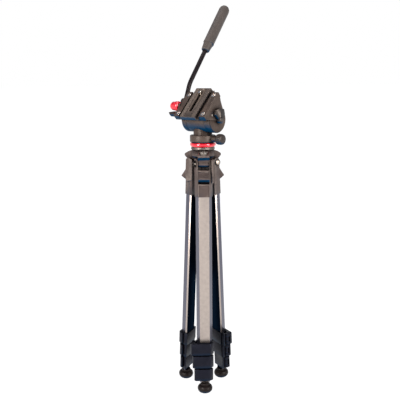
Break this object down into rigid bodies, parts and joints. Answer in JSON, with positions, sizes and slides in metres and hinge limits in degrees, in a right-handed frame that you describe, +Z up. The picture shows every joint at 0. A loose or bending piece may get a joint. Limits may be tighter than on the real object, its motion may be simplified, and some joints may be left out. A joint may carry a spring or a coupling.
{
  "type": "video tripod with pan and tilt head",
  "caption": "Folding video tripod with telescoping flip-lock legs, a lifting column and a pan and tilt head with a slide-in camera plate and long handle.",
  "frame": {"origin": "on the floor, under the centre column's axis, midway between the three feet", "axes": "+Z up along the centre column; -Y towards the front leg"},
  "size_m": [0.1279, 0.1948, 0.7828],
  "materials": {
    "leg_aluminium": "satin titanium-coloured anodising",
    "rubber": "matte black",
    "lock_plastic": "fine-grained black nylon",
    "cast_alloy": "black powder-coated die casting",
    "head_alloy": "black powder-coated alloy",
    "steel": "bright plated steel",
    "level_vial": "clear level vial",
    "red_anodised": "bright red anodising",
    "grey_alloy": "dark grey knurled alloy",
    "grip_plastic": "ribbed matte grip"
  },
  "bodies": {
    "spider": {"spider": "cast_alloy", "bubble_level": "level_vial", "leg_pivot_bolts": "steel"},
    "column": {"centre_column": "leg_aluminium", "column_top_plate": "red_anodised"},
    "column_collar": {"column_lock_collar": "grey_alloy"},
    "pan": {"pan_base": "head_alloy", "tilt_drum": "head_alloy", "tilt_axle": "steel"},
    "pan_knob": {"pan_lock_knob": "lock_plastic"},
    "tilt": {"tilt_cradle": "head_alloy", "platform_screws": "steel", "end_caps": "head_alloy"},
    "tilt_lever": {"tilt_lock_lever": "lock_plastic"},
    "plate": {"quick_release_plate": "head_alloy", "plate_grip_pads": "rubber"},
    "camera_screw": {"camera_screw": "steel"},
    "plate_knob": {"plate_lock_knob": "red_anodised"},
    "release_lever": {"plate_release_lever": "lock_plastic"},
    "handle": {"handle_rod": "head_alloy", "handle_grip": "grip_plastic"},
    "leg_1": {"leg_1_casting": "cast_alloy", "leg_1_tube_1": "leg_aluminium", "leg_1_lock_1": "lock_plastic"},
    "leg_1_section_2": {"leg_1_tube_2": "leg_aluminium", "leg_1_lock_2": "lock_plastic"},
    "leg_1_section_3": {"leg_1_tube_3": "leg_aluminium", "leg_1_lock_3": "lock_plastic"},
    "leg_1_section_4": {"leg_1_tube_4": "leg_aluminium", "leg_1_foot": "rubber"},
    "leg_1_slider": {"leg_1_angle_slider": "lock_plastic"},
    "leg_1_lever_1_body": {"leg_1_lever_1": "lock_plastic"},
    "leg_1_lever_2_body": {"leg_1_lever_2": "lock_plastic"},
    "leg_1_lever_3_body": {"leg_1_lever_3": "lock_plastic"},
    "leg_2": {"leg_2_casting": "cast_alloy", "leg_2_tube_1": "leg_aluminium", "leg_2_lock_1": "lock_plastic"},
    "leg_2_section_2": {"leg_2_tube_2": "leg_aluminium", "leg_2_lock_2": "lock_plastic"},
    "leg_2_section_3": {"leg_2_tube_3": "leg_aluminium", "leg_2_lock_3": "lock_plastic"},
    "leg_2_section_4": {"leg_2_tube_4": "leg_aluminium", "leg_2_foot": "rubber"},
    "leg_2_slider": {"leg_2_angle_slider": "lock_plastic"},
    "leg_2_lever_1_body": {"leg_2_lever_1": "lock_plastic"},
    "leg_2_lever_2_body": {"leg_2_lever_2": "lock_plastic"},
    "leg_2_lever_3_body": {"leg_2_lever_3": "lock_plastic"},
    "leg_3": {"leg_3_casting": "cast_alloy", "leg_3_tube_1": "leg_aluminium", "leg_3_lock_1": "lock_plastic"},
    "leg_3_section_2": {"leg_3_tube_2": "leg_aluminium", "leg_3_lock_2": "lock_plastic"},
    "leg_3_section_3": {"leg_3_tube_3": "leg_aluminium", "leg_3_lock_3": "lock_plastic"},
    "leg_3_section_4": {"leg_3_tube_4": "leg_aluminium", "leg_3_foot": "rubber"},
    "leg_3_slider": {"leg_3_angle_slider": "lock_plastic"},
    "leg_3_lever_1_body": {"leg_3_lever_1": "lock_plastic"},
    "leg_3_lever_2_body": {"leg_3_lever_2": "lock_plastic"},
    "leg_3_lever_3_body": {"leg_3_lever_3": "lock_plastic"}
  },
  "joints": [
    {"name": "leg_1_hinge", "type": "hinge", "parent": "spider", "child": "leg_1", "pos_m": [0, -0.0226, 0.4704], "axis": [-1, 0, 0], "range_deg": [0, 62]},
    {"name": "leg_1_extend_2", "type": "slide", "parent": "leg_1", "child": "leg_1_section_2", "axis": [0, -0.0462, -0.9989], "range_m": [0, 0.26]},
    {"name": "leg_1_extend_3", "type": "slide", "parent": "leg_1_section_2", "child": "leg_1_section_3", "axis": [0, -0.0462, -0.9989], "range_m": [0, 0.26]},
    {"name": "leg_1_extend_4", "type": "slide", "parent": "leg_1_section_3", "child": "leg_1_section_4", "axis": [0, -0.0462, -0.9989], "range_m": [0, 0.26]},
    {"name": "leg_1_slider_pull", "type": "slide", "parent": "leg_1", "child": "leg_1_slider", "axis": [0, -0.9989, 0.0462], "range_m": [0, 0.004], "stiffness_N_per_m": 800},
    {"name": "leg_1_lever_1_flip", "type": "hinge", "parent": "leg_1", "child": "leg_1_lever_1_body", "pos_m": [-0.0245, -0.04195, 0.09569], "axis": [0, -0.0462, -0.9989], "range_deg": [0, 100]},
    {"name": "leg_1_lever_2_flip", "type": "hinge", "parent": "leg_1_section_2", "child": "leg_1_lever_2_body", "pos_m": [-0.0209, -0.04322, 0.06822], "axis": [0, -0.0462, -0.9989], "range_deg": [0, 100]},
    {"name": "leg_1_lever_3_flip", "type": "hinge", "parent": "leg_1_section_3", "child": "leg_1_lever_3_body", "pos_m": [-0.0174, -0.04453, 0.03995], "axis": [0, -0.0462, -0.9989], "range_deg": [0, 100]},
    {"name": "leg_2_hinge", "type": "hinge", "parent": "spider", "child": "leg_2", "pos_m": [-0.01957, 0.0113, 0.4704], "axis": [0.5, 0.866, 0], "range_deg": [0, 62]},
    {"name": "leg_2_extend_2", "type": "slide", "parent": "leg_2", "child": "leg_2_section_2", "axis": [-0.04, 0.0231, -0.9989], "range_m": [0, 0.26]},
    {"name": "leg_2_extend_3", "type": "slide", "parent": "leg_2_section_2", "child": "leg_2_section_3", "axis": [-0.04, 0.0231, -0.9989], "range_m": [0, 0.26]},
    {"name": "leg_2_extend_4", "type": "slide", "parent": "leg_2_section_3", "child": "leg_2_section_4", "axis": [-0.04, 0.0231, -0.9989], "range_m": [0, 0.26]},
    {"name": "leg_2_slider_pull", "type": "slide", "parent": "leg_2", "child": "leg_2_slider", "axis": [-0.8651, 0.4995, 0.0462], "range_m": [0, 0.004], "stiffness_N_per_m": 800},
    {"name": "leg_2_lever_1_flip", "type": "hinge", "parent": "leg_2", "child": "leg_2_lever_1_body", "pos_m": [-0.02408, 0.04219, 0.09569], "axis": [-0.04, 0.0231, -0.9989], "range_deg": [0, 100]},
    {"name": "leg_2_lever_2_flip", "type": "hinge", "parent": "leg_2_section_2", "child": "leg_2_lever_2_body", "pos_m": [-0.02698, 0.03971, 0.06822], "axis": [-0.04, 0.0231, -0.9989], "range_deg": [0, 100]},
    {"name": "leg_2_lever_3_flip", "type": "hinge", "parent": "leg_2_section_3", "child": "leg_2_lever_3_body", "pos_m": [-0.02986, 0.03733, 0.03995], "axis": [-0.04, 0.0231, -0.9989], "range_deg": [0, 100]},
    {"name": "leg_3_hinge", "type": "hinge", "parent": "spider", "child": "leg_3", "pos_m": [0.01957, 0.0113, 0.4704], "axis": [0.5, -0.866, 0], "range_deg": [0, 62]},
    {"name": "leg_3_extend_2", "type": "slide", "parent": "leg_3", "child": "leg_3_section_2", "axis": [0.04, 0.0231, -0.9989], "range_m": [0, 0.26]},
    {"name": "leg_3_extend_3", "type": "slide", "parent": "leg_3_section_2", "child": "leg_3_section_3", "axis": [0.04, 0.0231, -0.9989], "range_m": [0, 0.26]},
    {"name": "leg_3_extend_4", "type": "slide", "parent": "leg_3_section_3", "child": "leg_3_section_4", "axis": [0.04, 0.0231, -0.9989], "range_m": [0, 0.26]},
    {"name": "leg_3_slider_pull", "type": "slide", "parent": "leg_3", "child": "leg_3_slider", "axis": [0.8651, 0.4995, 0.0462], "range_m": [0, 0.004], "stiffness_N_per_m": 800},
    {"name": "leg_3_lever_1_flip", "type": "hinge", "parent": "leg_3", "child": "leg_3_lever_1_body", "pos_m": [0.04858, -0.00024, 0.09569], "axis": [0.04, 0.0231, -0.9989], "range_deg": [0, 100]},
    {"name": "leg_3_lever_2_flip", "type": "hinge", "parent": "leg_3_section_2", "child": "leg_3_lever_2_body", "pos_m": [0.04788, 0.00351, 0.06822], "axis": [0.04, 0.0231, -0.9989], "range_deg": [0, 100]},
    {"name": "leg_3_lever_3_flip", "type": "hinge", "parent": "leg_3_section_3", "child": "leg_3_lever_3_body", "pos_m": [0.04726, 0.00719, 0.03995], "axis": [0.04, 0.0231, -0.9989], "range_deg": [0, 100]},
    {"name": "column_lift", "type": "slide", "parent": "spider", "child": "column", "axis": [0, 0, 1], "range_m": [0, 0.2]},
    {"name": "column_collar_turn", "type": "hinge", "parent": "spider", "child": "column_collar", "pos_m": [0, 0, 0.499], "axis": [0, 0, 1], "range_deg": [0, 60]},
    {"name": "pan", "type": "hinge", "parent": "column", "child": "pan", "pos_m": [0, 0, 0.515], "axis": [0, 0, 1], "continuous": true},
    {"name": "pan_knob_turn", "type": "hinge", "parent": "pan", "child": "pan_knob", "pos_m": [0.027, -0.02457, 0.5182], "axis": [0.7396, -0.673, 0], "range_deg": [0, 180]},
    {"name": "tilt", "type": "hinge", "parent": "pan", "child": "tilt", "pos_m": [0, 0, 0.555], "axis": [0.7396, -0.673, 0], "range_deg": [-90, 35]},
    {"name": "tilt_lever_turn", "type": "hinge", "parent": "tilt", "child": "tilt_lever", "pos_m": [0.02914, -0.02652, 0.555], "axis": [0.7396, -0.673, 0], "range_deg": [0, 45]},
    {"name": "plate_slide", "type": "slide", "parent": "tilt", "child": "plate", "axis": [0.465, 0.511, 0.723], "range_m": [-0.018, 0.018]},
    {"name": "camera_screw_turn", "type": "hinge", "parent": "plate", "child": "camera_screw", "pos_m": [-0.00443, -0.00487, 0.60486], "axis": [-0.4866, -0.5347, 0.6909], "continuous": true},
    {"name": "plate_knob_turn", "type": "hinge", "parent": "tilt", "child": "plate_knob", "pos_m": [-0.04448, 0.01264, 0.58021], "axis": [-0.7396, 0.673, 0], "range_deg": [0, 180]},
    {"name": "release_lever_press", "type": "hinge", "parent": "tilt", "child": "release_lever", "pos_m": [-0.04616, 0.01019, 0.56642], "axis": [-0.465, -0.511, -0.723], "range_deg": [0, 8], "stiffness_Nm_per_rad": 2},
    {"name": "handle_swing", "type": "hinge", "parent": "tilt", "child": "handle", "pos_m": [-0.03347, 0.03216, 0.587], "axis": [0.7396, -0.673, 0], "range_deg": [-30, 30]}
  ]
}
